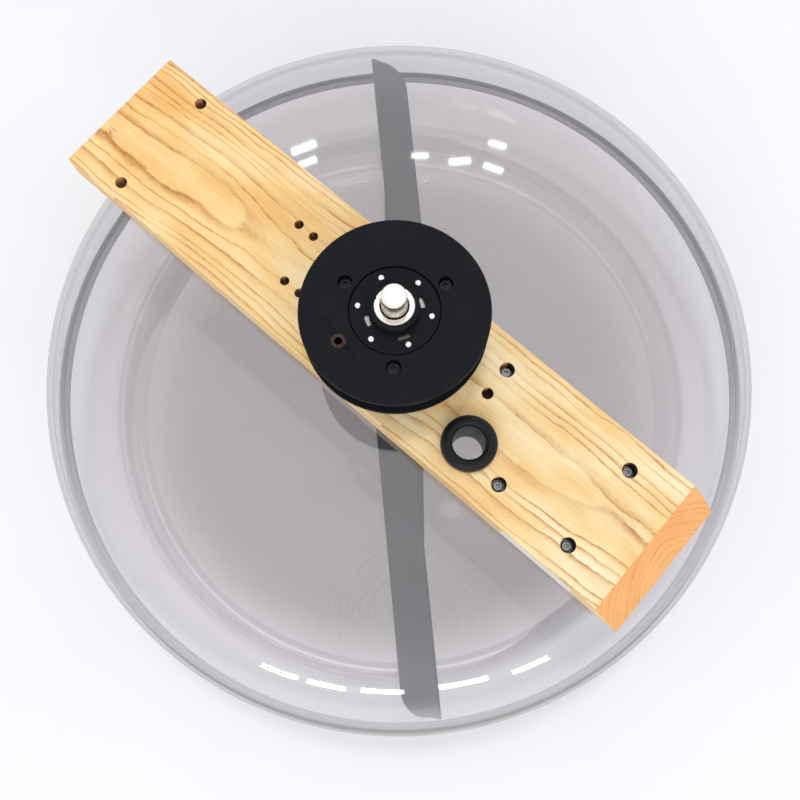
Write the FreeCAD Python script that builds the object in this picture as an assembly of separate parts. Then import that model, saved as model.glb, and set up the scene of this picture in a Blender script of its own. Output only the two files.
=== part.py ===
import FreeCAD, Part
import math
import os

# Water flywheel tank of a rowing machine, as it stands on its own flat bottom.
# Frame: millimetres, +Z up along the drive shaft, origin on the shaft axis at the
# underside of the tank, +X along the mounting plank towards its bevelled end.

Vec = FreeCAD.Vector
UP = Vec(0, 0, 1)
ORIGIN = Vec(0, 0, 0)

# ---- tank -------------------------------------------------------------------
tank_radius = 265.0
tank_height = 164.0
shell_wall = 4.0
shoulder_run = 46.0           # of the quarter-elliptic shoulder, measured across
straight_wall = 4.0           # plain wall between each shoulder and the seam
seal_height = 3.0            # rubber ring that shows as the dark seam line
seal_bead = 4.0              # how far the ring stands inside the wall
boss_radius = 7.5            # blind screw bosses under the tank's flat top
boss_depth = 14.0
boss_floor = 3.0

# ---- mounting plank -----------------------------------------------------------
plank_width = 104.0
plank_thickness = 22.0
plank_square_reach = 263.5   # from the shaft axis to the square-cut end
plank_bevel_reach = 212.0    # from the shaft axis to the top edge of the bevel
bevel_angle = 45.0
plank_edge_round = 1.2

frame_bolt_hole = 8.5
frame_bolt_inset = 41.5      # from the square end
frame_bolt_spacing = 81.0
tank_screw_places = [(174.0, 32.0), (174.0, -32.0), (70.5, 32.0), (115.5, -31.0)]
bracket_hole = 6.6
bracket_hole_pitch = 13.5
bracket_hole_rows = [(-105.4, 18.0), (-85.0, -19.0)]
locating_hole = 8.0
locating_hole_depth = 9.0
locating_hole_place = (71.0, 11.0)

# ---- fasteners ----------------------------------------------------------------
tank_screw = 4.0             # thread diameter of the four screws into the bosses
tank_screw_head = 7.0
tank_screw_head_height = 4.0
tank_screw_washer = 9.4
tank_screw_sink = 12.5       # depth of the counterbore in the plank
head_clearance = 0.5
thread_clearance = 0.25
socket_share = 0.5           # hexagon socket across corners, as a share of a head
washer_thickness = 1.0

# ---- filler grommet -----------------------------------------------------------
filler_place = (83.7, -23.6)
filler_bore = 22.0
filler_wall = 3.2
filler_collar_radius = 18.8
filler_collar_height = 9.0
filler_bead_radius = 17.4
filler_bead_height = 4.5
filler_clearance = 0.3

# ---- shaft and its two ball bearings --------------------------------------------
shaft_diameter = 16.0
shaft_above_pulley = 26.5    # stub that stands above the pulley's top face
shaft_below_hub = 1.5
shaft_chamfer = 0.8
stub_diameter = 15.6         # free end of the shaft, above the collar
stub_lift = 0.6              # shoulder of the free end above the collar
bearing_outer = 35.0
bearing_width = 11.0
ball_diameter = 6.0
ball_count = 8
ball_clearance = 0.1
race_gap = 1.6               # half the open gap between the two rings
bearing_spread = 25.5        # between the lower faces of the two bearings
seat_clearance = 0.02        # on pieces that are pressed or seated together
running_clearance = 0.05     # on pieces that turn on the shaft

# ---- bearing housing ----------------------------------------------------------
housing_wall = 4.5
housing_flange_radius = 35.0
housing_flange_thickness = 5.0
housing_ledge = 3.0
upper_bearing_sink = 1.5     # below the flange's top face
hole_clearance = 0.3
housing_screw = 4.0
housing_screw_count = 4
housing_screw_length = 18.0
ring_cord = 2.6              # section of the rubber ring in the housing's groove
shaft_seal_thickness = 6.5
circlip_thickness = 1.2
circlip_depth = 2.4
circlip_groove = 0.6
circlip_gap_angle = 60.0

# ---- paddle -------------------------------------------------------------------
paddle_angle = 136.5         # resting direction of the first blade, from +X
paddle_sidestep = 4.5        # both blades stand this far to one side of the shaft
blade_tip_clearance = 9.0    # between the blade's tip and the tank's wall
blade_run = 25.0             # sideways run of the inclined blade
blade_drop = 18.0            # fall of the inclined blade over that run
blade_thickness = 2.6
blade_corner = 20.0          # rounded outer lower corner
gusset_reach = 153.0         # radius where the stiffening fold starts
gusset_width = 16.0
gusset_slope = 40.0
hub_wall = 7.0
hub_above_blade = 6.0
hub_clearance = 10.8         # between the bearing housing and the paddle hub
hub_height = 34.0
lug_reach = 44.0
lug_thickness = 4.0
blade_rivet = 4.0
blade_rivet_places = [25.0, 37.0]
hub_pin = 5.0

# ---- strap pulley and one-way clutch ----------------------------------------------
pulley_radius = 59.7
pulley_gap = 33.7            # open height between plank and pulley
rim_flange = 4.0
strap_width = 18.3
drum_radius = 45.0
cover_thickness = 10.0
clutch_cup_wall = 3.0
clutch_length = 16.0
clutch_hub_wall = 6.5
clutch_flange_radius = 28.0
clutch_flange_thickness = 5.0
clutch_flange_sink = 1.0     # below the pulley's top face
clutch_boss_wall = 3.0
clutch_boss_height = 8.8
flange_gap = 0.8             # narrow ring groove round the clutch flange
collar_wall = 3.5
collar_gap = 1.0             # round the shaft
collar_proud = 0.6
collar_height = 8.2
collar_notch = 1.6
rivet_margin = 3.9           # from the windows' outer edge to the rivets' circle
rivet_diameter = 3.7
rivet_count = 6
rivet_start = 32.3
rivet_proud = 0.3
rivet_depth = 4.0            # below the clutch flange, into the cover
window_count = 4
window_start = 60.0
window_margin = 0.8          # from the boss to the windows
window_width = 2.9
window_arc = 26.0
snap_ring_thickness = 1.2
pulley_screw = 4.5
pulley_screw_head = 8.0
pulley_screw_head_height = 2.6
pulley_screw_circle = 36.0
pulley_screw_start = 70.0
pulley_screw_sink = 7.0
pulley_screw_bore = 9.2
anchor_circle = 39.5
anchor_angle = 250.5
arrow_reach = 19.0           # how far the engraved arrow runs each side of the bush
arrow_width = 4.2            # of its spike, at the bush
arrow_line = 1.2             # of its tail
arrow_step = 3.0             # the tail stands this far to one side
arrow_tilt = 160.5           # the arrow's direction from +X
arrow_depth = 0.6
anchor_outer = 9.2
anchor_bore = 5.0
recoil_radius = 26.0
recoil_flange_radius = 34.0
recoil_flange = 3.0
washer_radius = 13.0
thrust_washer = 1.5
drum_clearance = 2.2         # between the housing flange and the recoil drum

# ---- blank label on the plank's side -----------------------------------------------
label_start = 136.0
label_length = 58.0
label_height = 14.0
label_thickness = 0.3

# ---- places worked out from the sizes above ------------------------------------------
seam_z = tank_height / 2
plank_top = tank_height + plank_thickness
bevel_run = plank_thickness / math.tan(math.radians(bevel_angle))
shaft_radius = shaft_diameter / 2
frame_bolt_x = frame_bolt_inset - plank_square_reach
housing_radius = bearing_outer / 2 + housing_wall
housing_top = plank_top + housing_flange_thickness
upper_bearing_z = housing_top - upper_bearing_sink - bearing_width
lower_bearing_z = upper_bearing_z - bearing_spread
seal_top_z = lower_bearing_z - circlip_thickness - 1.0
shaft_seal_z = seal_top_z - shaft_seal_thickness
housing_bottom = shaft_seal_z - 1.5
rim_bottom = plank_top + pulley_gap
core_bottom = rim_bottom + rim_flange
pulley_top = core_bottom + strap_width + rim_flange
cover_bottom = pulley_top - cover_thickness
flange_top = pulley_top - clutch_flange_sink
recess_z = flange_top - clutch_flange_thickness
washer_z = housing_top - upper_bearing_sink + circlip_thickness + 0.1
recoil_bottom = housing_top + drum_clearance
clutch_hub_bottom = washer_z + thrust_washer + 0.3
clutch_outer = shaft_diameter + 2 * clutch_cup_wall
clutch_hub_radius = clutch_outer / 2 + clutch_hub_wall
collar_inner = shaft_radius + collar_gap
collar_radius = collar_inner + collar_wall
clutch_boss_radius = collar_radius + clutch_boss_wall
window_inner = clutch_boss_radius + window_margin
window_outer = window_inner + window_width
rivet_circle = window_outer + rivet_margin
boss_top = pulley_top + clutch_boss_height
collar_z = boss_top + collar_proud - collar_height
stub_z = collar_z + collar_height + stub_lift
hub_top = housing_bottom - hub_clearance
blade_top_z = hub_top - hub_above_blade
blade_tip_radius = tank_radius - shell_wall - blade_tip_clearance
hub_bottom = hub_top - hub_height
shaft_bottom = hub_bottom - shaft_below_hub
shaft_top = pulley_top + shaft_above_pulley
paddle_hub_radius = shaft_radius + hub_wall
blade_width = math.hypot(blade_run, blade_drop)
blade_slope = math.degrees(math.atan2(blade_drop, blade_run))
filler_outer = filler_bore / 2 + filler_wall


# ---- small helpers ----------------------------------------------------------------
def disc(radius, z0, z1, x=0.0, y=0.0):
    return Part.makeCylinder(radius, z1 - z0, Vec(x, y, z0))


def ring(outer, inner, z0, z1, x=0.0, y=0.0):
    return disc(outer, z0, z1, x, y).cut(disc(inner, z0 - 1, z1 + 1, x, y))


def polar(radius, degrees):
    angle = math.radians(degrees)
    return radius * math.cos(angle), radius * math.sin(angle)


def spaced(count, start):
    return [start + 360.0 * i / count for i in range(count)]


def turned(profile):
    """Solid of revolution about Z from (radius, z) corners."""
    points = [Vec(r, 0, z) for r, z in profile]
    wire = Part.makePolygon(points + points[:1])
    return Part.Face(wire).revolve(ORIGIN, UP, 360)


def torus(ring_radius, section_radius, z):
    return Part.makeTorus(ring_radius, section_radius, Vec(0, 0, z), UP)


def chamfer_rims(shape, size, heights):
    """Chamfer the circular edges that lie at the given heights."""
    rims = [e for e in shape.Edges
            if isinstance(e.Curve, Part.Circle)
            and any(abs(e.BoundBox.ZMin - z) < 1e-6 and abs(e.BoundBox.ZMax - z) < 1e-6
                    for z in heights)]
    return shape.makeChamfer(size, rims)


def hexagon(across_corners, z0, z1, x, y):
    points = [Vec(x + px, y + py, z0) for px, py in
              (polar(across_corners / 2, a) for a in spaced(6, 0.0))]
    return Part.Face(Part.makePolygon(points + points[:1])).extrude(Vec(0, 0, z1 - z0))


def socket_screw(thread, head, head_height, z_seat, z_end, x, y):
    """Cap screw standing on z_seat with its thread down to z_end."""
    top = z_seat + head_height
    body = disc(head / 2, z_seat, top, x, y)
    body = chamfer_rims(body, head_height * 0.15, [top])
    body = body.fuse(disc(thread / 2, z_end, z_seat, x, y)).removeSplitter()
    return body.cut(hexagon(head * socket_share, top - head_height * 0.6, top + 1, x, y))


# ---- tank ---------------------------------------------------------------------
def rounded_drum(radius, z0, z1, run, rise, at_top):
    """Solid drum with the edge of one end a quarter ellipse, run across and rise tall."""
    end, other, up = (z1, z0, 1) if at_top else (z0, z1, -1)
    middle = Vec(radius - run, 0, end - up * rise)
    tip = Vec(radius - run, 0, end)
    side = Vec(radius, 0, end - up * rise)
    major, minor = (tip, side) if rise > run else (side, tip)
    bend = Part.ArcOfEllipse(Part.Ellipse(major, minor, middle), 0, math.pi / 2).toShape()
    corners = [side, Vec(radius, 0, other), Vec(0, 0, other), Vec(0, 0, end), tip]
    sides = [Part.makeLine(p, q) for p, q in zip(corners, corners[1:])]
    half = Part.Face(Part.Wire(Part.__sortEdges__(sides + [bend])))
    return half.revolve(Vec(0, 0, 0), Vec(0, 0, 1), 360)


def tank_lower_shell():
    edge = seam_z - seal_height / 2
    rise = edge - straight_wall
    outside = rounded_drum(tank_radius, 0, edge, shoulder_run, rise, False)
    inside = rounded_drum(tank_radius - shell_wall, shell_wall, edge + 1,
                          shoulder_run - shell_wall, rise - shell_wall, False)
    return outside.cut(inside)


def tank_upper_shell():
    edge = seam_z + seal_height / 2
    under = tank_height - shell_wall
    rise = tank_height - edge - straight_wall
    outside = rounded_drum(tank_radius, edge, tank_height, shoulder_run, rise, True)
    inside = rounded_drum(tank_radius - shell_wall, edge - 1, under,
                          shoulder_run - shell_wall, rise - shell_wall, True)
    shell = outside.cut(inside)
    for x, y in tank_screw_places:
        shell = shell.fuse(disc(boss_radius, under - boss_depth, under + 0.5, x, y))
    pilot = tank_screw / 2 + seat_clearance
    for x, y in tank_screw_places:
        floor = under - boss_depth + boss_floor
        shell = shell.cut(disc(pilot, floor, tank_height + 1, x, y))
    shell = shell.cut(disc(housing_radius + hole_clearance, under - 1, tank_height + 1))
    x, y = filler_place
    shell = shell.cut(disc(filler_outer + filler_clearance, under - 1, tank_height + 1, x, y))
    return shell.removeSplitter()


def tank_seam_seal():
    z0 = seam_z - seal_height / 2
    z1 = seam_z + seal_height / 2
    return ring(tank_radius, tank_radius - shell_wall - seal_bead, z0, z1)


# ---- plank --------------------------------------------------------------------
def plank_blank():
    half = plank_width / 2
    profile = [Vec(-plank_square_reach, -half, tank_height),
               Vec(plank_bevel_reach + bevel_run, -half, tank_height),
               Vec(plank_bevel_reach, -half, plank_top),
               Vec(-plank_square_reach, -half, plank_top)]
    body = Part.Face(Part.makePolygon(profile + profile[:1])).extrude(Vec(0, plank_width, 0))
    long_edges = [e for e in body.Edges
                  if e.BoundBox.XLength > plank_square_reach
                  and abs(e.BoundBox.Center.z - plank_top) < 1e-6]
    return body.makeFillet(plank_edge_round, long_edges)


def top_plank():
    body = plank_blank()
    low, high = tank_height - 1, plank_top + 1
    holes = [disc(housing_radius + hole_clearance, low, high)]
    x, y = filler_place
    holes.append(disc(filler_outer + filler_clearance, low, high, x, y))
    for side in (-1, 1):
        y = side * frame_bolt_spacing / 2
        holes.append(disc(frame_bolt_hole / 2, low, high, frame_bolt_x, y))
    for x, y in tank_screw_places:
        holes.append(disc(tank_screw / 2 + thread_clearance, low, high, x, y))
        sink = plank_top - tank_screw_sink
        holes.append(disc(tank_screw_washer / 2 + head_clearance, sink, high, x, y))
    for x, y in bracket_hole_rows:
        holes.append(disc(bracket_hole / 2, low, high, x, y))
        holes.append(disc(bracket_hole / 2, low, high, x + bracket_hole_pitch, y))
    x, y = locating_hole_place
    holes.append(disc(locating_hole / 2, plank_top - locating_hole_depth, high, x, y))
    pilot = housing_screw / 2 + seat_clearance
    for angle in spaced(housing_screw_count, 45.0):
        x, y = polar(housing_screw_circle(), angle)
        holes.append(disc(pilot, plank_top - housing_screw_length, high, x, y))
    for hole in holes:
        body = body.cut(hole)
    return body


def tank_screws():
    floor = tank_height - shell_wall - boss_depth + boss_floor
    seat = plank_top - tank_screw_sink + washer_thickness
    return [socket_screw(tank_screw, tank_screw_head, tank_screw_head_height,
                         seat, floor + 1, x, y) for x, y in tank_screw_places]


def tank_screw_washers():
    z0 = plank_top - tank_screw_sink
    return [ring(tank_screw_washer / 2, tank_screw / 2 + thread_clearance / 2,
                 z0, z0 + washer_thickness, x, y) for x, y in tank_screw_places]


def filler_grommet():
    under = tank_height - shell_wall
    bore = filler_bore / 2
    top = plank_top + filler_collar_height
    body = disc(filler_outer, under - filler_bead_height, top)
    collar = disc(filler_collar_radius, plank_top, top)
    round_size = min(filler_collar_radius - filler_outer, filler_collar_height) * 0.8
    rim = [e for e in collar.Edges if isinstance(e.Curve, Part.Circle)
           and abs(e.BoundBox.Center.z - top) < 1e-6]
    collar = collar.makeFillet(round_size, rim)
    bead = turned([(filler_outer - 1, under), (filler_bead_radius, under),
                   (filler_bead_radius, under - filler_bead_height * 0.35),
                   (filler_outer, under - filler_bead_height),
                   (filler_outer - 1, under - filler_bead_height)])
    body = body.fuse(collar).fuse(bead)
    body = body.cut(disc(bore, under - filler_bead_height - 1, top + 1))
    body = body.removeSplitter()
    mouth = [e for e in body.Edges if isinstance(e.Curve, Part.Circle)
             and abs(e.Curve.Radius - bore) < 1e-6 and abs(e.BoundBox.Center.z - top) < 1e-6]
    body = body.makeFillet(filler_wall * 0.7, mouth)
    body.translate(Vec(filler_place[0], filler_place[1], 0))
    return body


def blank_side_label():
    size_x, size_z = label_length, label_height
    z0 = tank_height + (plank_thickness - size_z) / 2
    corner = Vec(label_start, -plank_width / 2 - label_thickness, z0)
    return Part.makeBox(size_x, label_thickness, size_z, corner)


# ---- bearing housing ------------------------------------------------------------
def housing_screw_circle():
    return (housing_radius + housing_flange_radius) / 2


def bearing_housing():
    seat = bearing_outer / 2 + seat_clearance
    body = disc(housing_radius, housing_bottom, housing_top)
    body = body.fuse(disc(housing_flange_radius, plank_top, housing_top)).removeSplitter()
    body = chamfer_rims(body, 1.0, [housing_bottom])
    body = body.cut(disc(seat, upper_bearing_z, housing_top + 1))
    body = body.cut(disc(seat, housing_bottom - 1, lower_bearing_z + bearing_width))
    body = body.cut(disc(bearing_outer / 2 - housing_ledge, housing_bottom, housing_top))
    body = body.cut(ring(housing_radius + 1, housing_radius + hole_clearance - ring_cord,
                         ring_groove_z() - ring_cord * 0.6, ring_groove_z() + ring_cord * 0.6))
    shank = housing_screw / 2 + thread_clearance
    for angle in spaced(housing_screw_count, 45.0):
        x, y = polar(housing_screw_circle(), angle)
        body = body.cut(disc(shank, plank_top - 1, housing_top + 1, x, y))
        body = body.cut(countersink(x, y, shank, thread_clearance))
    return body


def ring_groove_z():
    return tank_height - shell_wall / 2


def countersink(x, y, radius, grow):
    head = housing_screw + grow
    depth = head - radius
    return Part.makeCone(radius, head, depth, Vec(x, y, housing_top - depth))


def housing_screws():
    screws = []
    for angle in spaced(housing_screw_count, 45.0):
        x, y = polar(housing_screw_circle(), angle)
        shank = housing_screw / 2
        body = disc(shank, plank_top - housing_screw_length + 1, housing_top - 0.1, x, y)
        body = body.fuse(countersink(x, y, shank, 0.0))
        slot = hexagon(housing_screw * 1.1, housing_top - 1.5, housing_top + 1, x, y)
        screws.append(body.cut(slot))
    return screws


def housing_o_ring():
    return torus(housing_radius + hole_clearance - ring_cord / 2, ring_cord / 2 - 0.02,
                 ring_groove_z())


def shaft_seal():
    return ring(bearing_outer / 2, shaft_radius + running_clearance, shaft_seal_z, seal_top_z)


# ---- ball bearings ----------------------------------------------------------------
def ball_pitch():
    return (shaft_diameter + bearing_outer) / 4


def race_groove(z0):
    return torus(ball_pitch(), ball_diameter / 2 + ball_clearance, z0 + bearing_width / 2)


def bearing_outer_ring(z0):
    body = ring(bearing_outer / 2, ball_pitch() + race_gap, z0, z0 + bearing_width)
    return body.cut(race_groove(z0))


def bearing_inner_ring(z0):
    body = ring(ball_pitch() - race_gap, shaft_radius + seat_clearance, z0, z0 + bearing_width)
    return body.cut(race_groove(z0))


def bearing_balls(z0):
    balls = []
    for angle in spaced(ball_count, 0.0):
        x, y = polar(ball_pitch(), angle)
        balls.append(Part.makeSphere(ball_diameter / 2, Vec(x, y, z0 + bearing_width / 2)))
    return balls


# ---- shaft and paddle --------------------------------------------------------------
def circlip_places():
    return [upper_bearing_z + bearing_width, lower_bearing_z - circlip_thickness]


def shaft():
    body = disc(shaft_radius, shaft_bottom, stub_z)
    body = body.fuse(disc(stub_diameter / 2, stub_z - 1, shaft_top)).removeSplitter()
    body = chamfer_rims(body, shaft_chamfer, [shaft_bottom, shaft_top])
    for z in circlip_places():
        body = body.cut(ring(shaft_radius + 1, shaft_radius - circlip_groove,
                             z, z + circlip_thickness))
    return body.cut(pin_hole(hub_pin / 2))


def circlip(z):
    inner = shaft_radius - circlip_groove + seat_clearance
    body = ring(shaft_radius + circlip_depth, inner, z + 0.05, z + circlip_thickness - 0.05)
    reach = shaft_radius + circlip_depth + 2
    half = math.radians(circlip_gap_angle / 2)
    tip = [Vec(0, 0, z - 1), Vec(reach * 2 * math.cos(half), reach * 2 * math.sin(half), z - 1),
           Vec(reach * 2 * math.cos(half), -reach * 2 * math.sin(half), z - 1)]
    wedge = Part.Face(Part.makePolygon(tip + tip[:1])).extrude(Vec(0, 0, circlip_thickness + 2))
    return body.cut(wedge)


def shaft_circlips():
    return [circlip(z) for z in circlip_places()]


def pin_z():
    return hub_bottom + hub_height * 0.25


def pin_hole(radius):
    reach = paddle_hub_radius + 5
    body = Part.makeCylinder(radius, 2 * reach, Vec(-reach, 0, pin_z()), Vec(1, 0, 0))
    body.rotate(ORIGIN, UP, paddle_angle + 90)
    return body


def paddle_pin():
    reach = paddle_hub_radius - 0.2
    body = Part.makeCylinder(hub_pin / 2 - seat_clearance, 2 * reach,
                             Vec(-reach, 0, pin_z()), Vec(1, 0, 0))
    body.rotate(ORIGIN, UP, paddle_angle + 90)
    return body


def on_blade(shape, turn):
    """Put a shape drawn flat (x outward, y across, z up) on the inclined blade."""
    placed = shape.copy()
    placed.rotate(ORIGIN, Vec(1, 0, 0), blade_slope)
    aside = paddle_sidestep if turn else -paddle_sidestep
    placed.translate(Vec(0, aside, blade_top_z))
    placed.rotate(ORIGIN, UP, paddle_angle + turn)
    return placed


def blade_plate(root):
    """Flat blade: upper edge along y = 0, rounded corner at the outer lower end."""
    low = -blade_width
    corner_y = low + blade_corner * 1.15
    knee = Vec(blade_tip_radius - blade_corner * 0.28, low + blade_corner * 0.35, 0)
    edges = [Part.makeLine(Vec(root, low, 0), Vec(blade_tip_radius - blade_corner, low, 0)),
             Part.Arc(Vec(blade_tip_radius - blade_corner, low, 0), knee,
                      Vec(blade_tip_radius - 1.5, corner_y, 0)).toShape(),
             Part.makeLine(Vec(blade_tip_radius - 1.5, corner_y, 0), Vec(blade_tip_radius, 0, 0)),
             Part.makeLine(Vec(blade_tip_radius, 0, 0), Vec(root, 0, 0)),
             Part.makeLine(Vec(root, 0, 0), Vec(root, low, 0))]
    face = Part.Face(Part.Wire(edges))
    return face.extrude(Vec(0, 0, -blade_thickness))


def gusset(root):
    """Tapered fold on the other side of the upper edge, sloping down."""
    points = [Vec(root, 0, 0), Vec(gusset_reach, 0, 0), Vec(root, gusset_width, 0)]
    fold = Part.Face(Part.makePolygon(points + points[:1])).extrude(Vec(0, 0, -blade_thickness))
    fold.rotate(ORIGIN, Vec(1, 0, 0), -gusset_slope - blade_slope)
    return fold


def paddle_blade(turn):
    root = paddle_hub_radius + 1.0
    plate = blade_plate(root)
    for x in blade_rivet_places:
        plate = plate.cut(disc(blade_rivet / 2 + seat_clearance, -20, 20, x, -blade_width / 2))
    plate = plate.fuse(gusset(root)).removeSplitter()
    return on_blade(plate, turn)


def hub_lug():
    """Pad under the blade's root that the blade is riveted to."""
    wide = blade_width * 0.7
    pad = Part.makeBox(lug_reach, wide, lug_thickness,
                       Vec(0, -(blade_width + wide) / 2, -blade_thickness - lug_thickness))
    for x in blade_rivet_places:
        pad = pad.cut(disc(blade_rivet / 2 + seat_clearance, -20, 20, x, -blade_width / 2))
    return pad


def paddle_hub():
    body = disc(paddle_hub_radius, hub_bottom, hub_top)
    for turn in (0, 180):
        body = body.fuse(on_blade(hub_lug(), turn))
    body = body.cut(disc(shaft_radius + seat_clearance, hub_bottom - 30, hub_top + 30))
    return body.cut(pin_hole(hub_pin / 2)).removeSplitter()


def blade_rivets():
    rivets = []
    for turn in (0, 180):
        for x in blade_rivet_places:
            grip = blade_thickness + lug_thickness
            y = -blade_width / 2
            body = disc(blade_rivet / 2, -grip - 1.2, 1.2, x, y)
            body = body.fuse(disc(blade_rivet, 0, 1.2, x, y))
            body = body.fuse(disc(blade_rivet, -grip - 1.2, -grip, x, y)).removeSplitter()
            rivets.append(on_blade(body, turn))
    return rivets


# ---- pulley and clutch ---------------------------------------------------------------
def thrust_washer_ring():
    return ring(washer_radius, shaft_radius + seat_clearance, washer_z, washer_z + thrust_washer)


def snap_ring_z():
    return recess_z + 0.8


def window_cut(z0, z1):
    """Short arc-shaped windows beside the boss, one after another round it."""
    band = ring(window_outer, window_inner, z0, z1)
    cutters = []
    for angle in spaced(window_count, window_start):
        reach = window_outer * 2
        ends = [polar(reach, angle - window_arc / 2), polar(reach, angle + window_arc / 2)]
        tip = [Vec(0, 0, z0)] + [Vec(x, y, z0) for x, y in ends]
        wedge = Part.Face(Part.makePolygon(tip + tip[:1])).extrude(Vec(0, 0, z1 - z0))
        cutters.append(band.common(wedge))
    return cutters


def clutch_hub():
    bore = clutch_outer / 2 + seat_clearance
    body = disc(clutch_hub_radius, clutch_hub_bottom, flange_top)
    body = body.fuse(disc(clutch_flange_radius, recess_z, flange_top))
    boss = chamfer_rims(disc(clutch_boss_radius, flange_top - 1, boss_top), 1.0, [boss_top])
    body = body.fuse(boss).removeSplitter()
    body = body.cut(disc(bore, clutch_hub_bottom - 1, boss_top + 1))
    body = body.cut(disc(collar_radius + seat_clearance, collar_z, boss_top + 1))
    z0 = snap_ring_z()
    z1 = z0 + snap_ring_thickness
    body = body.cut(ring(window_outer + 0.1, window_inner - 0.1, z0 - 0.05, z1 + 0.05))
    for cutter in window_cut(z1, pulley_top + 1):
        body = body.cut(cutter)
    for angle in spaced(rivet_count, rivet_start):
        x, y = polar(rivet_circle, angle)
        hole = disc(rivet_diameter / 2 + seat_clearance, recess_z - 1, pulley_top + 1, x, y)
        body = body.cut(hole)
    return body


def hub_snap_ring():
    z0 = snap_ring_z()
    return ring(window_outer, window_inner, z0, z0 + snap_ring_thickness)


def hub_rivets():
    rivets = []
    for angle in spaced(rivet_count, rivet_start):
        x, y = polar(rivet_circle, angle)
        head_z = flange_top + rivet_proud
        body = disc(rivet_diameter / 2, recess_z - rivet_depth, head_z, x, y)
        rivets.append(chamfer_rims(body, rivet_proud, [head_z]))
    return rivets


def one_way_clutch(z0):
    body = ring(clutch_outer / 2, shaft_radius + running_clearance, z0, z0 + clutch_length)
    return chamfer_rims(body, 0.4, [z0, z0 + clutch_length])


def clutch_place(index):
    """The two clutch cups share the hub's bore below the collar evenly."""
    room = collar_z - clutch_hub_bottom - 2 * clutch_length
    return clutch_hub_bottom + room / 3 + index * (clutch_length + room / 3)


def clutch_collar():
    top = collar_z + collar_height
    body = ring(collar_radius, collar_inner, collar_z, top)
    body = chamfer_rims(body, 0.5, [top])
    for angle in spaced(4, 20.0):
        x, y = polar(collar_inner, angle)
        body = body.cut(disc(collar_notch / 2, top - 3, top + 1, x, y))
    x, y = polar(collar_radius, 200.0)
    return body.cut(disc(collar_notch / 2, top - 3, top + 1, x, y))


def screw_places():
    return [polar(pulley_screw_circle, a) for a in spaced(3, pulley_screw_start)]


def arrow_engraving():
    """Arrow cut beside the bush: a long pointed spike one way and a stepped tail the other."""
    gap = anchor_outer / 2 + 0.8
    spike = [Vec(gap, -arrow_width / 2, 0), Vec(arrow_reach, 0, 0), Vec(gap, arrow_width / 2, 0)]
    tail = [Vec(gap, -arrow_line, 0), Vec(gap + arrow_line, arrow_step - arrow_line, 0),
            Vec(arrow_reach, arrow_step + arrow_line, 0), Vec(gap, arrow_step + arrow_line / 2, 0)]
    x, y = polar(anchor_circle, anchor_angle)
    cutters = []
    for outline, turn in ((spike, 0), (tail, 180)):
        face = Part.Face(Part.makePolygon(outline + outline[:1]))
        cutter = face.extrude(Vec(0, 0, arrow_depth + 1))
        cutter.rotate(ORIGIN, UP, arrow_tilt + turn)
        cutter.translate(Vec(x, y, pulley_top - arrow_depth))
        cutters.append(cutter)
    return cutters


def pulley_cover():
    body = disc(pulley_radius, pulley_top - rim_flange, pulley_top)
    body = chamfer_rims(body, 0.8, [pulley_top])
    body = body.fuse(disc(drum_radius, cover_bottom, pulley_top - rim_flange)).removeSplitter()
    body = body.cut(disc(clutch_flange_radius + flange_gap, recess_z, pulley_top + 1))
    body = body.cut(disc(clutch_hub_radius + seat_clearance, cover_bottom - 1, recess_z + 1))
    for x, y in screw_places():
        sink = pulley_top - pulley_screw_sink
        body = body.cut(disc(pulley_screw_bore / 2, sink, pulley_top + 1, x, y))
        body = body.cut(disc(pulley_screw / 2 + thread_clearance, cover_bottom - 1, sink + 1, x, y))
    for angle in spaced(rivet_count, rivet_start):
        x, y = polar(rivet_circle, angle)
        hole = disc(rivet_diameter / 2 + seat_clearance, recess_z - rivet_depth, recess_z + 1, x, y)
        body = body.cut(hole)
    for cutter in arrow_engraving():
        body = body.cut(cutter)
    x, y = polar(anchor_circle, anchor_angle)
    return body.cut(disc(anchor_outer / 2 + seat_clearance, cover_bottom - 1, pulley_top + 1, x, y))


def pulley_core():
    body = ring(drum_radius, clutch_hub_radius + seat_clearance, core_bottom, cover_bottom)
    for x, y in screw_places():
        shank = pulley_screw / 2 + thread_clearance
        body = body.cut(disc(shank, core_bottom - 1, cover_bottom + 1, x, y))
    return body


def pulley_bottom_flange():
    body = ring(pulley_radius, clutch_hub_radius + seat_clearance, rim_bottom, core_bottom)
    body = chamfer_rims(body, 0.6, [rim_bottom])
    for x, y in screw_places():
        pilot = pulley_screw / 2 + seat_clearance
        body = body.cut(disc(pilot, rim_bottom - 1, core_bottom + 1, x, y))
    return body


def pulley_screws():
    seat = pulley_top - pulley_screw_sink
    return [socket_screw(pulley_screw, pulley_screw_head, pulley_screw_head_height,
                         seat, rim_bottom + 0.3, x, y) for x, y in screw_places()]


def strap_anchor_bush():
    x, y = polar(anchor_circle, anchor_angle)
    return ring(anchor_outer / 2, anchor_bore / 2, cover_bottom, pulley_top - 0.2, x, y)


def recoil_drum():
    body = disc(recoil_radius, recoil_bottom, rim_bottom)
    low = recoil_bottom + recoil_flange
    body = body.fuse(disc(recoil_flange_radius, recoil_bottom, low)).removeSplitter()
    bore = clutch_hub_radius + seat_clearance
    return body.cut(disc(bore, recoil_bottom - 1, rim_bottom + 1))


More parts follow.
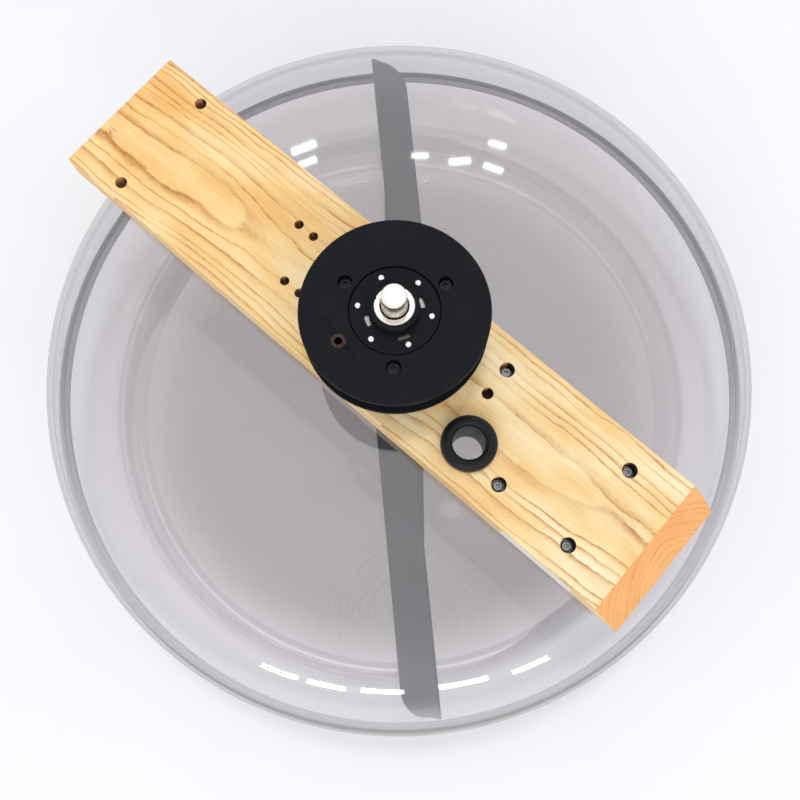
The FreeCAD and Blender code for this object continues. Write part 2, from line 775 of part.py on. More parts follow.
# ---- write every node -----------------------------------------------------------------
def nodes():
    upper, lower = upper_bearing_z, lower_bearing_z
    return {
        "tank_lower_shell": tank_lower_shell(),
        "tank_upper_shell": tank_upper_shell(),
        "tank_seam_seal": tank_seam_seal(),
        "top_plank": top_plank(),
        "tank_screws": tank_screws(),
        "tank_screw_washers": tank_screw_washers(),
        "filler_grommet": filler_grommet(),
        "blank_side_label": blank_side_label(),
        "bearing_housing": bearing_housing(),
        "housing_screws": housing_screws(),
        "housing_o_ring": housing_o_ring(),
        "shaft_seal": shaft_seal(),
        "upper_bearing_outer_ring": bearing_outer_ring(upper),
        "upper_bearing_inner_ring": bearing_inner_ring(upper),
        "upper_bearing_balls": bearing_balls(upper),
        "lower_bearing_outer_ring": bearing_outer_ring(lower),
        "lower_bearing_inner_ring": bearing_inner_ring(lower),
        "lower_bearing_balls": bearing_balls(lower),
        "shaft": shaft(),
        "shaft_circlips": shaft_circlips(),
        "thrust_washer": thrust_washer_ring(),
        "paddle_hub": paddle_hub(),
        "paddle_blade_a": paddle_blade(0),
        "paddle_blade_b": paddle_blade(180),
        "blade_rivets": blade_rivets(),
        "paddle_pin": paddle_pin(),
        "clutch_hub": clutch_hub(),
        "hub_snap_ring": hub_snap_ring(),
        "hub_rivets": hub_rivets(),
        "lower_one_way_clutch": one_way_clutch(clutch_place(0)),
        "upper_one_way_clutch": one_way_clutch(clutch_place(1)),
        "clutch_collar": clutch_collar(),
        "pulley_cover": pulley_cover(),
        "pulley_core": pulley_core(),
        "pulley_bottom_flange": pulley_bottom_flange(),
        "pulley_screws": pulley_screws(),
        "strap_anchor_bush": strap_anchor_bush(),
        "recoil_drum": recoil_drum(),
    }


def main():
    os.makedirs("parts", exist_ok=True)
    for name, shape in nodes().items():
        solids = shape if isinstance(shape, list) else [shape]
        body = solids[0] if len(solids) == 1 else Part.makeCompound(solids)
        print(f"{name:26s} solids {len(body.Solids):2d}  volume {body.Volume:12.1f}"
              f"  valid {body.isValid()}")
        body.exportStep(f"parts/{name}.step")


main()
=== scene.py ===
import math

import bmesh
import bpy
import numpy as np
from mathutils import Matrix, Vector


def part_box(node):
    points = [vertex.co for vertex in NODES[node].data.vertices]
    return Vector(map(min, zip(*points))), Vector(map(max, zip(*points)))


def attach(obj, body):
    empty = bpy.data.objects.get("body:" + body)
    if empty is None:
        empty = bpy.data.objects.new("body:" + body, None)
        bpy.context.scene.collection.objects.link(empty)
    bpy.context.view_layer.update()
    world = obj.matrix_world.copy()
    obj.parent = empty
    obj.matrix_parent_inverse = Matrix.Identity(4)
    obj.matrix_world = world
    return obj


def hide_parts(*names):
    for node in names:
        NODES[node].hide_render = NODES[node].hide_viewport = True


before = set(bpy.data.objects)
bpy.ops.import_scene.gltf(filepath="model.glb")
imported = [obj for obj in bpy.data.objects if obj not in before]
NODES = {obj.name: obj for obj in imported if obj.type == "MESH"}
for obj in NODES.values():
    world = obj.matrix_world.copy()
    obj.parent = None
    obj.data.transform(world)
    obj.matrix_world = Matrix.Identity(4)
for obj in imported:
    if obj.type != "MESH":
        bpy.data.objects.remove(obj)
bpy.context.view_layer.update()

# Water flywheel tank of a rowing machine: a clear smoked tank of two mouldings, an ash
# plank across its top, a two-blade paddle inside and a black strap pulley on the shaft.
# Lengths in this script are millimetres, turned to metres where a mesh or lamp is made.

MM = 0.001


def node_box(name):
    """Lowest and highest corner of a CAD node, in millimetres."""
    low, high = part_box(name)
    return np.array(low) / MM, np.array(high) / MM


# ---- sizes read from the frame ----------------------------------------------------
SEAM_LOW = node_box("tank_lower_shell")[1][2]
UPPER_LOW, UPPER_HIGH = node_box("tank_upper_shell")
PLANK_HIGH = node_box("top_plank")[1]
SHAFT_LOW, SHAFT_HIGH = node_box("shaft")
COLLAR_HIGH = node_box("clutch_collar")[1]
GROMMET_LOW, GROMMET_HIGH = node_box("filler_grommet")
SEAM_HIGH, TANK_TOP, TANK_RADIUS = UPPER_LOW[2], UPPER_HIGH[2], UPPER_HIGH[0]
PLANK_TOP = PLANK_HIGH[2]
GROMMET_PLACE = (GROMMET_LOW[:2] + GROMMET_HIGH[:2]) / 2

# ---- sizes of the new surfaces ----------------------------------------------------
SHELL_WALL = 4.0
TANK_UNDER = TANK_TOP - SHELL_WALL
SHOULDER_RUN = 46.0        # of the elliptic shoulders, across
STRAIGHT_WALL = 4.0        # plain wall between a shoulder and the seam
LIP_ROUND = 0.5
HOUSING_OPENING = 22.3
FILLER_OPENING = 14.5
BOSS_RADIUS = 7.5
BOSS_FOOT = TANK_UNDER - 14.0
TANK_SCREW_PLACES = ((174.0, 32.0), (174.0, -32.0), (70.5, 32.0), (115.5, -31.0))
SEAM_LIP = 3.9             # how far the seam ring stands inside the wall
GROMMET_BORE = 11.0
GROMMET_SLEEVE = 14.2
GROMMET_BEAD = 17.4
SHAFT_RADIUS = 8.0
STUB_RADIUS = 7.8
STUB_LIFT = 0.6            # shoulder of the shaft's free end above the collar
PITH_DEPTH = 48.5          # of the tree's heart below the plank's top face
RING_WIDTH = 4.2           # of one year's growth
FLAT_SHADE_INSIDE, FLAT_SHADE_OUTSIDE = 170.0, 236.0      # the painted darker tint of the tank's flats fades out between these radii
BLADE_SIDE = (0.7254, 0.6884, 0.0)            # square to the blades, seen from above
BLADE_ANGLE = math.radians(-136.5)            # turns the first blade onto +X
EDGE_ANGLE = math.radians(35.0)               # sharper edges stay crisp
TANK_STEPS, TANK_ARC = 288, 32                # facets round the tank and across a shoulder
MIRROR_FLAT, MIRROR_EDGE = 0.120, 0.48        # share of light mirrored, and its growth


# ---- colours and nodes ---------------------------------------------------------------


def linear(code):
    """sRGB hex code to the linear colour that shaders take."""
    value = np.array([int(code[i:i + 2], 16) for i in (0, 2, 4)]) / 255.0
    value = np.where(value <= 0.04045, value / 12.92, ((value + 0.055) / 1.055) ** 2.4)
    return (*value, 1.0)


def add(tree, kind, inputs=None, out=0, stops=(), **settings):
    """Add one node with its settings and links. inputs gives a socket a value, a hex colour
    or another node's output, and stops are a colour ramp's (place, hex code) pairs. It gives
    back the live output that out names or numbers, or a list of them for a tuple of names."""
    node = tree.nodes.new("ShaderNode" + kind)
    for key, value in settings.items():
        setattr(node, key, value)
    for key, value in (inputs or {}).items():
        if isinstance(value, bpy.types.NodeSocket):
            tree.links.new(value, node.inputs[key])
        else:
            node.inputs[key].default_value = linear(value) if isinstance(value, str) else value
    if stops:
        node.color_ramp.elements.remove(node.color_ramp.elements[1])
    for index, (place, code) in enumerate(stops):
        points = node.color_ramp.elements
        point = points.new(place) if index else points[0]
        point.position, point.color = place, linear(code)
    if isinstance(out, tuple):
        return [node.outputs[name] for name in out]
    live = [item for item in node.outputs if item.enabled]
    return node.outputs[out] if isinstance(out, str) else (live[out] if live else node)


def new_finish(name):
    """Empty material of this name and its node tree."""
    material = bpy.data.materials.new(name)
    material.use_nodes = True
    material.node_tree.nodes.clear()
    return material, material.node_tree


def millimetres(tree):
    """Object coordinates in millimetres: the point, its x, y, z and its distance from the
    shaft's axis."""
    metres = add(tree, "TexCoord", out="Object")
    point = add(tree, "VectorMath", {0: metres, 1: (1000.0, 1000.0, 1000.0)},
                operation="MULTIPLY")
    x, y, z = add(tree, "SeparateXYZ", {0: point}, out=("X", "Y", "Z"))
    flat = add(tree, "CombineXYZ", {"X": x, "Y": y})
    radius = add(tree, "VectorMath", {0: flat}, operation="LENGTH")
    return point, x, y, z, radius


# ---- materials -----------------------------------------------------------------------


def ash_growth_rings(tree, point):
    """Radius from the tree's heart, as years of growth. The rings are cylinders round a
    line that lies under the board, slopes a little along it and wanders."""
    slow = add(tree, "VectorMath", {0: point, 1: (0.0042, 0.012, 0.012)}, operation="MULTIPLY")
    drift = add(tree, "TexNoise", {"Vector": slow, "Scale": 1.0, "Detail": 1.4}, out="Color")
    swing = add(tree, "VectorMath", {0: drift, 1: (0.5, 0.5, 0.5)}, operation="SUBTRACT")
    bent = add(tree, "VectorMath", {0: swing, 1: (0.0, 26.0, 22.0), 2: point},
               operation="MULTIPLY_ADD")
    x, y, z = add(tree, "SeparateXYZ", {0: bent}, out=("X", "Y", "Z"))
    side = add(tree, "Math", {0: x, 1: -0.022, 2: 3.0}, operation="MULTIPLY_ADD")
    across = add(tree, "Math", {0: y, 1: side}, operation="ADD")
    slope = add(tree, "Math", {0: x, 1: 0.016, 2: PITH_DEPTH - PLANK_TOP},
                operation="MULTIPLY_ADD")
    depth = add(tree, "Math", {0: z, 1: slope}, operation="ADD")
    across2 = add(tree, "Math", {0: across, 1: across}, operation="MULTIPLY")
    both = add(tree, "Math", {0: depth, 1: depth, 2: across2}, operation="MULTIPLY_ADD")
    radius = add(tree, "Math", {0: both}, operation="SQRT")
    # the rings ripple along the board every 45 mm or so
    ripple = add(tree, "VectorMath", {0: point, 1: (0.022, 0.05, 0.05)}, operation="MULTIPLY")
    wave = add(tree, "TexNoise", {"Vector": ripple, "Scale": 1.0, "Detail": 2.0})
    radius = add(tree, "Math", {0: wave, 1: 4.5, 2: radius}, operation="MULTIPLY_ADD")
    # fibres make each ring's edge ragged over about 1.5 mm
    fibres = add(tree, "VectorMath", {0: point, 1: (0.14, 1.0, 1.0)}, operation="MULTIPLY")
    ragged = add(tree, "TexNoise", {"Vector": fibres, "Scale": 1 / 1.5, "Detail": 4.0,
                                    "Roughness": 0.65})
    radius = add(tree, "Math", {0: ragged, 1: 1.3, 2: radius}, operation="MULTIPLY_ADD")
    # good and bad years differ in width
    along = add(tree, "CombineXYZ", {"X": radius})
    year = add(tree, "TexNoise", {"Vector": along, "Scale": 1 / 9.0, "Detail": 1.0})
    extra = add(tree, "Math", {0: year, 1: 2.4}, operation="MULTIPLY")
    return add(tree, "Math", {0: radius, 1: 1 / RING_WIDTH, 2: extra}, operation="MULTIPLY_ADD")


def ash_oiled():
    """Flat-sawn ash, planed and oiled. Its top shows a cream heart between thin ragged
    brown lines, its bevel shows the same rings as arcs, and its early wood is open-pored:
    short dark dashes. The board is warmer at its square end."""
    material, tree = new_finish("ash_flat_sawn_oiled")
    point, x, y, z, _ = millimetres(tree)
    years = ash_growth_rings(tree, point)
    ring = add(tree, "Math", {0: years}, operation="FRACT")
    long_cloud = add(tree, "VectorMath", {0: point, 1: (0.35, 1.0, 1.0)}, operation="MULTIPLY")
    cloud = add(tree, "TexNoise", {"Vector": long_cloud, "Scale": 1 / 24.0, "Detail": 2.5})
    plain = add(tree, "ValToRGB", {"Fac": cloud},
                stops=[(0.30, "F4C988"), (0.44, "F9DAA0"), (0.56, "FCE6B6"), (0.72, "FEEFCB")])
    # early wood: a brown line with a soft orange side, strong in some rings, faint in others
    line = add(tree, "ValToRGB", {"Fac": ring},
               stops=[(0.0, "CF9A5C"), (0.04, "BE8548"), (0.10, "DFAE6C"), (0.24, "F2C688"),
                      (0.50, "FBE0AE"), (0.93, "FDE8BC"), (1.0, "E8BE85")])
    patch = add(tree, "VectorMath", {0: point, 1: (0.22, 1.0, 1.0)}, operation="MULTIPLY")
    patchy = add(tree, "TexNoise", {"Vector": patch, "Scale": 1 / 15.0, "Detail": 2.0})
    strength = add(tree, "MapRange", {"Value": patchy, "From Min": 0.36, "From Max": 0.60,
                                      "To Min": 0.22, "To Max": 0.85})
    late = add(tree, "MapRange", {"Value": ring, "From Min": 0.16, "From Max": 0.50,
                                  "To Min": 1.0, "To Max": 0.0})
    next_year = add(tree, "MapRange", {"Value": ring, "From Min": 0.93, "From Max": 1.0,
                                       "To Min": 0.0, "To Max": 0.8})
    drawn = add(tree, "Math", {0: late, 1: next_year}, operation="MAXIMUM")
    drawn = add(tree, "Math", {0: drawn, 1: strength}, operation="MULTIPLY")
    colour = add(tree, "Mix", {0: drawn, 6: plain, 7: line}, data_type="RGBA")
    # pores are 0.3 mm wide and a few millimetres long, drawn at 0.5 mm so that they show
    grain = add(tree, "VectorMath", {0: point, 1: (0.16, 1.0, 1.0)}, operation="MULTIPLY")
    dash = add(tree, "TexNoise", {"Vector": grain, "Scale": 1 / 0.5, "Detail": 1.0})
    open_pore = add(tree, "MapRange", {"Value": dash, "From Min": 0.55, "From Max": 0.64,
                                       "To Min": 0.0, "To Max": 0.9})
    early = add(tree, "MapRange", {"Value": ring, "From Min": 0.03, "From Max": 0.26,
                                   "To Min": 1.0, "To Max": 0.10})
    pores = add(tree, "Math", {0: open_pore, 1: early}, operation="MULTIPLY")
    pores = add(tree, "Math", {0: pores, 1: strength}, operation="MULTIPLY")
    colour = add(tree, "Mix", {0: pores, 6: colour, 7: "87522A"}, data_type="RGBA")
    fine = add(tree, "VectorMath", {0: point, 1: (0.03, 1.0, 1.0)}, operation="MULTIPLY")
    fibre = add(tree, "TexNoise", {"Vector": fine, "Scale": 1 / 0.8})
    shade = add(tree, "ValToRGB", {"Fac": fibre}, stops=[(0.3, "F4F2EF"), (0.7, "FFFFFF")])
    colour = add(tree, "Mix", {0: 1.0, 6: colour, 7: shade}, data_type="RGBA",
                 blend_type="MULTIPLY")
    warm = add(tree, "MapRange", {"Value": x, "From Min": -240.0, "From Max": 160.0,
                                  "To Min": 0.85, "To Max": 0.0})
    colour = add(tree, "Mix", {0: warm, 6: colour, 7: "FFF0D6"}, data_type="RGBA",
                 blend_type="MULTIPLY")
    # end grain drinks the oil and turns orange
    facing = add(tree, "NewGeometry", out="True Normal")
    endways = add(tree, "VectorMath", {0: facing, 1: (1.0, 0.0, 0.0)}, operation="DOT_PRODUCT")
    bevel = add(tree, "MapRange", {"Value": endways, "From Min": 0.45, "From Max": 0.70})
    orange = add(tree, "Mix", {0: 1.0, 6: colour, 7: "FBCDA2"}, data_type="RGBA",
                 blend_type="MULTIPLY")
    calm = add(tree, "Mix", {0: 0.55, 6: orange, 7: "F0B070"}, data_type="RGBA")
    colour = add(tree, "Mix", {0: bevel, 6: colour, 7: calm}, data_type="RGBA")
    # painted shade: drilled walls are darkened, darker the deeper they go, for the shade inside
    # the holes
    off_centre = add(tree, "Math", {0: y}, operation="ABSOLUTE")
    inside = add(tree, "Math", {0: off_centre, 1: PLANK_HIGH[1] - 2.0}, operation="LESS_THAN")
    end_reach = add(tree, "Math", {0: x}, operation="ABSOLUTE")
    between = add(tree, "Math", {0: end_reach, 1: PLANK_HIGH[0] - 1.0}, operation="LESS_THAN")
    below = add(tree, "Math", {0: z, 1: PLANK_TOP - 0.5}, operation="LESS_THAN")
    not_bevel = add(tree, "Math", {0: 1.0, 1: bevel}, operation="SUBTRACT")
    hole_shade = add(tree, "MapRange", {"Value": z, "From Min": PLANK_TOP - 9.5, "From Max": PLANK_TOP,
                                  "To Min": 0.99, "To Max": 0.93})
    for part in (inside, between, below, not_bevel):
        hole_shade = add(tree, "Math", {0: hole_shade, 1: part}, operation="MULTIPLY")
    colour = add(tree, "Mix", {0: hole_shade, 6: colour, 7: "240E08"}, data_type="RGBA")
    rough = add(tree, "MapRange", {"Value": ring, "To Min": 0.46, "To Max": 0.38})
    relief = add(tree, "Math", {0: fibre, 1: 0.4, 2: pores}, operation="MULTIPLY_ADD")
    normal = add(tree, "Bump", {"Height": relief, "Strength": 0.12, "Distance": 0.15 * MM},
                 invert=True)
    surface = add(tree, "BsdfPrincipled", { "Base Color": colour, "Roughness": rough,
                                           "Normal": normal, "IOR": 1.46,
                                           "Specular IOR Level": 0.3})
    add(tree, "OutputMaterial", {"Surface": surface})
    return material


def polycarbonate_smoked():
    """Clear polycarbonate with a smoke tint, moulded and polished. Each face takes a share
    of the light, mirrors the room more the flatter it is seen, and shows a dark line where
    the wall or its lip at the seam is seen edge on."""
    material, tree = new_finish("polycarbonate_smoked_clear")
    point, _, _, height, radius = millimetres(tree)
    edge_on = add(tree, "LayerWeight", {"Blend": 0.5}, out="Facing")
    edge_tint = add(tree, "ValToRGB", {"Fac": edge_on},
               stops=[(0.0, "FDFCFD"), (0.72, "FAF9FA"), (0.87, "E9E6E6"), (0.94, "ADA7A4"),
                      (0.98, "6E6762"), (1.0, "433E3A")])
    # painted shade: the tint is darker over the flats and fades out towards the shoulders, so
    # the shoulders stand brighter
    flat = add(tree, "MapRange", {"Value": radius, "From Min": FLAT_SHADE_INSIDE,
                                  "From Max": FLAT_SHADE_OUTSIDE, "To Min": 1.0, "To Max": 0.0},
               interpolation_type="SMOOTHERSTEP")
    tint = add(tree, "Mix", {0: flat, 6: edge_tint, 7: "F0EEEE"}, data_type="RGBA")
    from_seam = add(tree, "Math", {0: height, 1: (SEAM_LOW + SEAM_HIGH) / 2},
                    operation="SUBTRACT")
    from_seam = add(tree, "Math", {0: from_seam}, operation="ABSOLUTE")
    lip = add(tree, "MapRange", {"Value": from_seam, "From Min": 1.5, "From Max": 2.4,
                                 "To Min": 1.0, "To Max": 0.0})
    tint = add(tree, "Mix", {0: lip, 6: tint, 7: "8B888D"}, data_type="RGBA")
    smear = add(tree, "TexNoise", {"Vector": point, "Scale": 1 / 60.0, "Detail": 4.0,
                                   "Roughness": 0.6})
    veil = add(tree, "MapRange", {"Value": smear, "From Min": 0.45, "From Max": 0.75,
                                  "To Min": 0.004, "To Max": 0.022})
    # Schlick's rule on the angle's size, so both faces of a wall behave alike
    grazing = add(tree, "Math", {0: edge_on, 1: 2.4}, operation="POWER")
    mirror = add(tree, "Math", {0: grazing, 1: MIRROR_EDGE, 2: MIRROR_FLAT},
                 operation="MULTIPLY_ADD")
    # what a face mirrors away still lights the floor by way of the white room
    shadow = add(tree, "LightPath", out="Is Shadow Ray")
    spared = add(tree, "Math", {0: shadow, 1: -0.6, 2: 1.0}, operation="MULTIPLY_ADD")
    mirror = add(tree, "Math", {0: mirror, 1: spared}, operation="MULTIPLY")
    clear = add(tree, "BsdfTransparent", {"Color": tint})
    haze = add(tree, "BsdfDiffuse", {"Color": "D9D6D8"})
    gloss = add(tree, "BsdfAnisotropic", {"Color": "FFFFFF", "Roughness": 0.03})
    body = add(tree, "MixShader", {0: veil, 1: clear, 2: haze})
    surface = add(tree, "MixShader", {0: mirror, 1: body, 2: gloss})
    add(tree, "OutputMaterial", {"Surface": surface})
    return material


def nylon_black():
    """Glass-filled nylon, moulded in a lightly textured tool: dull, near black, with fine
    grain and faint lighter scuffs from handling."""
    material, tree = new_finish("nylon_glass_filled_black")
    point = millimetres(tree)[0]
    # the tool's grain is about 0.15 mm, drawn at 0.35 mm so that it shows
    grain = add(tree, "TexNoise", {"Vector": point, "Scale": 1 / 0.35, "Roughness": 0.6})
    cloud = add(tree, "TexNoise", {"Vector": point, "Scale": 1 / 18.0, "Detail": 4.0,
                                   "Roughness": 0.6})
    handled = add(tree, "VectorMath", {0: point, 1: (1.0, 0.25, 1.0)}, operation="MULTIPLY")
    scuff = add(tree, "TexNoise", {"Vector": handled, "Scale": 1 / 1.6, "Detail": 3.0,
                                   "Roughness": 0.7})
    colour = add(tree, "ValToRGB", {"Fac": cloud}, stops=[(0.3, "15161A"), (0.8, "1A1B1F")])
    worn = add(tree, "MapRange", {"Value": scuff, "From Min": 0.66, "From Max": 0.78,
                                  "To Min": 0.0, "To Max": 0.2})
    colour = add(tree, "Mix", {0: worn, 6: colour, 7: "36373C"}, data_type="RGBA")
    rough = add(tree, "MapRange", {"Value": cloud, "From Min": 0.3, "From Max": 0.7,
                                   "To Min": 0.46, "To Max": 0.58})
    normal = add(tree, "Bump", {"Height": grain, "Strength": 0.3, "Distance": 0.1 * MM})
    surface = add(tree, "BsdfPrincipled", { "Base Color": colour, "Roughness": rough,
                                           "Normal": normal, "IOR": 1.42,
                                           "Specular IOR Level": 0.15})
    add(tree, "OutputMaterial", {"Surface": surface})
    return material


def epdm_rubber():
    """EPDM rubber, compression moulded: soft black with a dull bloom and a broad sheen."""
    material, tree = new_finish("epdm_rubber_moulded")
    point = millimetres(tree)[0]
    bloom = add(tree, "TexNoise", {"Vector": point, "Scale": 1 / 5.0, "Detail": 4.0,
                                   "Roughness": 0.6})
    colour = add(tree, "ValToRGB", {"Fac": bloom}, stops=[(0.4, "101216"), (0.85, "1B1D23")])
    rough = add(tree, "MapRange", {"Value": bloom, "From Min": 0.3, "From Max": 0.7,
                                   "To Min": 0.32, "To Max": 0.46})
    fine = add(tree, "TexNoise", {"Vector": point, "Scale": 1 / 0.5})
    normal = add(tree, "Bump", {"Height": fine, "Strength": 0.2, "Distance": 0.1 * MM})
    surface = add(tree, "BsdfPrincipled", { "Base Color": colour, "Roughness": rough,
                                           "Normal": normal, "IOR": 1.48,
                                           "Specular IOR Level": 0.28})
    add(tree, "OutputMaterial", {"Surface": surface})
    return material


def steel_turned(name, code, groove, roughness, line_mm):
    """Bearing steel turned on a lathe: fine rings round the axis on faces and flanks alike,
    which stretch the highlight."""
    material, tree = new_finish(name)
    point, _, _, z, radius = millimetres(tree)
    lathe = add(tree, "CombineXYZ", {"X": radius, "Y": z})
    lines = add(tree, "TexNoise", {"Vector": lathe, "Scale": 1 / line_mm, "Detail": 3.0,
                                   "Roughness": 0.7})
    colour = add(tree, "ValToRGB", {"Fac": lines}, stops=[(0.3, code), (0.75, groove)])
    stain = add(tree, "TexNoise", {"Vector": point, "Scale": 1 / 4.0, "Detail": 3.0})
    dull = add(tree, "MapRange", {"Value": stain, "From Min": 0.55, "From Max": 0.8,
                                  "To Min": 0.0, "To Max": 0.2})
    colour = add(tree, "Mix", {0: dull, 6: colour, 7: "8A8680"}, data_type="RGBA")
    rough = add(tree, "MapRange", {"Value": lines, "From Min": 0.3, "From Max": 0.7,
                                   "To Min": roughness, "To Max": roughness + 0.12})
    normal = add(tree, "Bump", {"Height": lines, "Strength": 0.12, "Distance": 0.03 * MM})
    surface = add(tree, "BsdfPrincipled", { "Base Color": colour, "Roughness": rough,
                                           "Normal": normal, "Metallic": 1.0})
    add(tree, "OutputMaterial", {"Surface": surface})
    return material


def skinned_metal(name, size_mm, stops, rough_low, rough_high, bare_edge_glint=None):
    """Metal under a thin skin, plated, blackened, drawn or sintered: its light and dark
    patches are as large as the crystals or pores of that skin. Where it has a worn edge the
    skin has gone from the chamfers, whose faces lie half way between top and side; that bare
    steel is painted bright all round, a painted glint for the highlights on the chamfers."""
    material, tree = new_finish(name)
    point = millimetres(tree)[0]
    patch = add(tree, "TexNoise", {"Vector": point, "Scale": 1 / size_mm, "Detail": 3.0,
                                   "Roughness": 0.6})
    colour = add(tree, "ValToRGB", {"Fac": patch}, stops=stops)
    # worn bare steel on the chamfers, painted bright all round as a glint
    if bare_edge_glint:
        facing = add(tree, "NewGeometry", out="True Normal")
        upward = add(tree, "SeparateXYZ", {0: facing}, out="Z")
        chamfer = add(tree, "Math", {0: upward, 1: math.sqrt(0.5), 2: 0.15},
                      operation="COMPARE")
        colour = add(tree, "Mix", {0: chamfer, 6: colour, 7: bare_edge_glint}, data_type="RGBA")
    rough = add(tree, "MapRange", {"Value": patch, "From Min": 0.3, "From Max": 0.7,
                                   "To Min": rough_low, "To Max": rough_high})
    normal = add(tree, "Bump", {"Height": patch, "Strength": 0.15, "Distance": 0.05 * MM})
    surface = add(tree, "BsdfPrincipled", {"Base Color": colour, "Roughness": rough,
                                           "Normal": normal, "Metallic": 1.0})
    add(tree, "OutputMaterial", {"Surface": surface})
    return material


def paddle_polymer():
    """Polycarbonate blend, moulded blue-grey with a satin face and faint flow streaks along
    the blade. The narrow edges that face one side are painted darker than the faces, a painted
    shade."""
    material, tree = new_finish("pc_blend_moulded_blue_grey")
    point = millimetres(tree)[0]
    turned_round = add(tree, "Mapping", {"Vector": point,
                                         "Rotation": (0.0, 0.0, BLADE_ANGLE)})
    flow = add(tree, "VectorMath", {0: turned_round, 1: (0.03, 1.0, 1.0)}, operation="MULTIPLY")
    streak = add(tree, "TexNoise", {"Vector": flow, "Scale": 1 / 4.0, "Detail": 3.0,
                                    "Roughness": 0.6})
    cloud = add(tree, "TexNoise", {"Vector": point, "Scale": 1 / 30.0, "Detail": 3.0})
    colour = add(tree, "ValToRGB", {"Fac": cloud}, stops=[(0.3, "4E5661"), (0.7, "464F53")])
    pale = add(tree, "MapRange", {"Value": streak, "From Min": 0.5, "From Max": 0.75,
                                  "To Min": 0.0, "To Max": 0.25})
    colour = add(tree, "Mix", {0: pale, 6: colour, 7: "7B8286"}, data_type="RGBA")
    # painted shade: the narrow edges that face this side are darkened
    facing = add(tree, "NewGeometry", out="True Normal")
    aside = add(tree, "VectorMath", {0: facing, 1: BLADE_SIDE}, operation="DOT_PRODUCT")
    painted_edge_shade = add(tree, "MapRange", {"Value": aside, "From Min": 0.62, "From Max": 0.70,
                                  "To Min": 0.0, "To Max": 0.85})
    colour = add(tree, "Mix", {0: painted_edge_shade, 6: colour, 7: "22262A"}, data_type="RGBA")
    rough = add(tree, "MapRange", {"Value": streak, "From Min": 0.3, "From Max": 0.7,
                                   "To Min": 0.36, "To Max": 0.48})
    fine = add(tree, "TexNoise", {"Vector": point, "Scale": 1 / 0.6})
    normal = add(tree, "Bump", {"Height": fine, "Strength": 0.15, "Distance": 0.1 * MM})
    surface = add(tree, "BsdfPrincipled", { "Base Color": colour, "Roughness": rough,
                                           "Normal": normal, "IOR": 1.5})
    add(tree, "OutputMaterial", {"Surface": surface})
    return material


def silicone_smoke():
    """Cast silicone in a smoke grey: milky and half clear, darker under the wall where the
    two mouldings press on it."""
    material, tree = new_finish("silicone_smoke_grey")
    point, _, _, _, radius = millimetres(tree)
    cloud = add(tree, "TexNoise", {"Vector": point, "Scale": 1 / 7.0, "Detail": 3.0})
    colour = add(tree, "ValToRGB", {"Fac": cloud}, stops=[(0.3, "ACA9B0"), (0.7, "BAB7BE")])
    wall = TANK_RADIUS - SHELL_WALL
    pressed = add(tree, "MapRange", {"Value": radius, "From Min": wall - 0.6, "From Max": wall})
    colour = add(tree, "Mix", {0: pressed, 6: colour, 7: "5E5B61"}, data_type="RGBA")
    rough = add(tree, "MapRange", {"Value": cloud, "From Min": 0.3, "From Max": 0.7,
                                   "To Min": 0.30, "To Max": 0.42})
    milky = add(tree, "BsdfPrincipled", {"Base Color": colour, "Roughness": rough, "IOR": 1.41})
    clear = add(tree, "BsdfTransparent", {"Color": "B9B5BC"})
    surface = add(tree, "MixShader", {0: 0.55, 1: clear, 2: milky})
    add(tree, "OutputMaterial", {"Surface": surface})
    return material


def matt_white(name, low, high, size_mm, roughness, specular):
    """Coated paper or a painted floor: bright, matt and faintly mottled."""
    material, tree = new_finish(name)
    point = millimetres(tree)[0]
    fibre = add(tree, "TexNoise", {"Vector": point, "Scale": 1 / size_mm, "Detail": 3.0})
    colour = add(tree, "ValToRGB", {"Fac": fibre}, stops=[(0.3, low), (0.7, high)])
    rough = add(tree, "MapRange", {"Value": fibre, "From Min": 0.3, "From Max": 0.7,
                                   "To Min": roughness, "To Max": roughness + 0.08})
    surface = add(tree, "BsdfPrincipled", { "Base Color": colour, "Roughness": rough,
                                           "Specular IOR Level": specular})
    add(tree, "OutputMaterial", {"Surface": surface})
    return material


# ---- surfaces ---------------------------------------------------------------------------


def grid_faces(rows, columns, closed_rows, closed_columns):
    """Quads of a rows by columns grid, wrapped where it is closed."""
    i = np.arange(rows if closed_rows else rows - 1)
    j = np.arange(columns if closed_columns else columns - 1)
    i, j = np.meshgrid(i, j, indexing="ij")
    a, b = i % rows, (i + 1) % rows
    c, d = j % columns, (j + 1) % columns
    quads = np.stack([a * columns + c, b * columns + c, b * columns + d, a * columns + d], -1)
    return quads.reshape(-1, 4)


def clean_mesh(name, points, faces):
    """Mesh of points in millimetres, with doubles merged and faces turned outwards."""
    mesh = bpy.data.meshes.new(name)
    mesh.from_pydata((np.asarray(points) * MM).tolist(), [], np.asarray(faces).tolist())
    work = bmesh.new()
    work.from_mesh(mesh)
    bmesh.ops.remove_doubles(work, verts=work.verts, dist=1e-6)
    bmesh.ops.dissolve_degenerate(work, edges=work.edges, dist=1e-7)
    bmesh.ops.recalc_face_normals(work, faces=work.faces)
    work.to_mesh(mesh)
    work.free()
    return mesh


def smooth(mesh):
    """Smooth shading, except at edges sharper than the edge angle."""
    mesh.shade_smooth()
    mesh.set_sharp_from_angle(angle=EDGE_ANGLE)


def rounded(outline, closed, steps):
    """Outline through square (r, z) corners. A corner with a fillet, (r, z, radius) or
    (r, z, run, rise), becomes the quarter ellipse corner + back (1 - sin u) +
    on (1 - cos u), where back and on are the steps of run or rise along its two sides."""
    u = np.linspace(0, math.pi / 2, steps + 1)[:, None]
    points = []
    for index, corner in enumerate(outline):
        here, fillet = np.array(corner[:2], float), np.array(corner[2:], float)
        if not fillet.any():
            points.append(here[None])
            continue
        reach = fillet[[0, -1]]
        back = np.sign(np.array(outline[index - 1][:2]) - here) * reach
        on = np.sign(np.array(outline[(index + 1) % len(outline)][:2]) - here) * reach
        points.append(here + back * (1 - np.sin(u)) + on * (1 - np.cos(u)))
    return np.concatenate(points)


